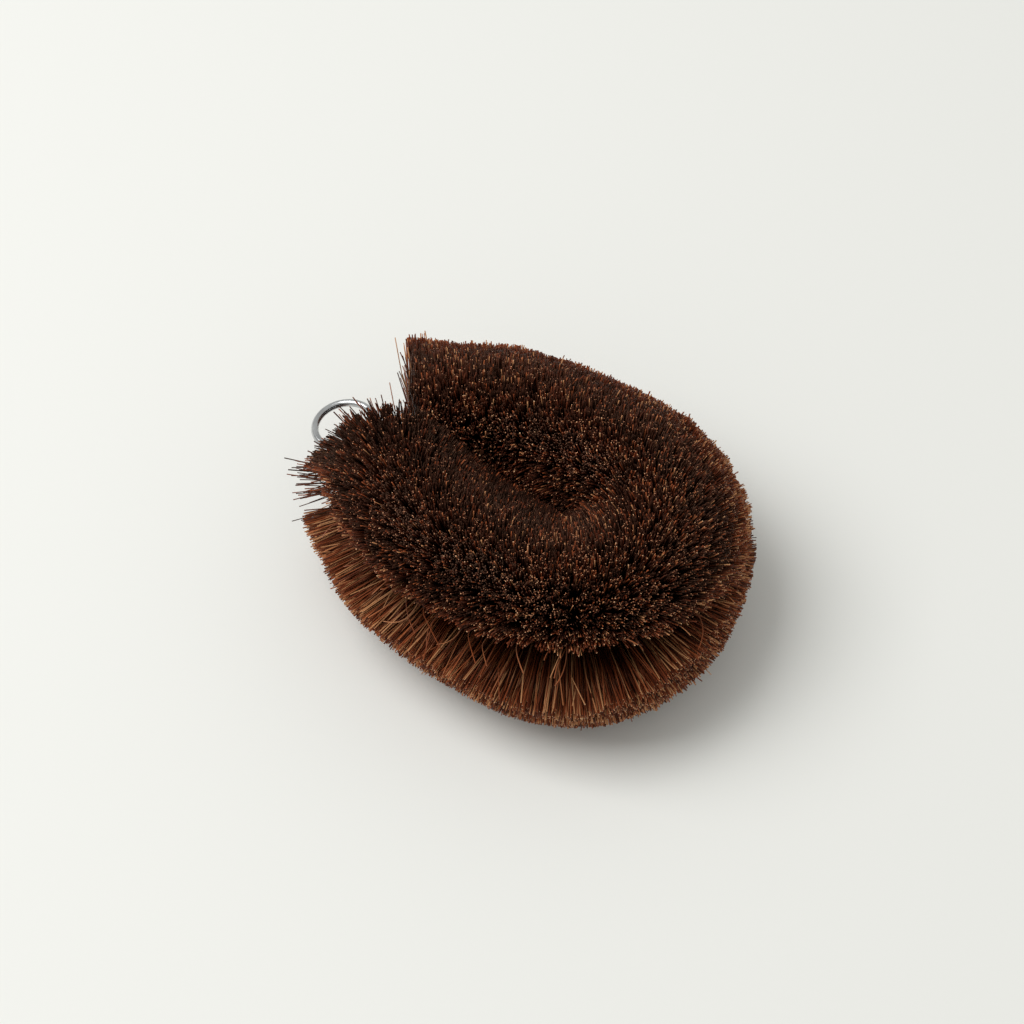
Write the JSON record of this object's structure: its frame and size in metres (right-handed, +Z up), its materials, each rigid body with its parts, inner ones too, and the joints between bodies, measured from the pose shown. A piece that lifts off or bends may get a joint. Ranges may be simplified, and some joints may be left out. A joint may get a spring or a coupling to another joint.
{
  "type": "palm fibre scrub brush",
  "caption": "Hand-held scrub brush of stiff palm fibres held in a twisted wire and bent into a closed horseshoe, with a swinging steel ring for hanging it up.",
  "frame": {"origin": "middle of the brush's bounding box in plan, on the surface that it stands on", "axes": "+X from the hanging ring to the bend, along both arms; +Y across the arms, to the arm without the ring's eye; +Z up, at right angles to the plane of the horseshoe"},
  "size_m": [0.1122, 0.0838, 0.0449],
  "materials": {
    "core_wire": "drawn galvanised steel wire",
    "hanging_ring": "bright polished steel",
    "palm_fibre": "dry coarse palm fibre, dark reddish brown"
  },
  "bodies": {
    "brush": {"core_wire": "core_wire", "fibre_bunch_1": "palm_fibre", "fibre_bunch_2": "palm_fibre", "fibre_bunch_3": "palm_fibre", "fibre_bunch_4": "palm_fibre", "fibre_bunch_5": "palm_fibre", "fibre_bunch_6": "palm_fibre", "fibre_bunch_7": "palm_fibre", "fibre_bunch_8": "palm_fibre", "fibre_bunch_9": "palm_fibre", "fibre_bunch_10": "palm_fibre", "fibre_bunch_11": "palm_fibre", "fibre_bunch_12": "palm_fibre", "fibre_bunch_13": "palm_fibre", "fibre_bunch_14": "palm_fibre", "fibre_bunch_15": "palm_fibre", "fibre_bunch_16": "palm_fibre", "fibre_bunch_17": "palm_fibre", "fibre_bunch_18": "palm_fibre", "fibre_bunch_19": "palm_fibre", "fibre_bunch_20": "palm_fibre", "fibre_bunch_21": "palm_fibre", "fibre_bunch_22": "palm_fibre", "fibre_bunch_23": "palm_fibre", "fibre_bunch_24": "palm_fibre", "fibre_bunch_25": "palm_fibre", "fibre_bunch_26": "palm_fibre"},
    "ring": {"hanging_ring": "hanging_ring"}
  },
  "joints": [
    {"name": "ring_swing", "type": "hinge", "parent": "brush", "child": "ring", "pos_m": [-0.04115, 0, 0.0222], "axis": [0, 1, 0], "range_deg": [-90, 95]}
  ]
}
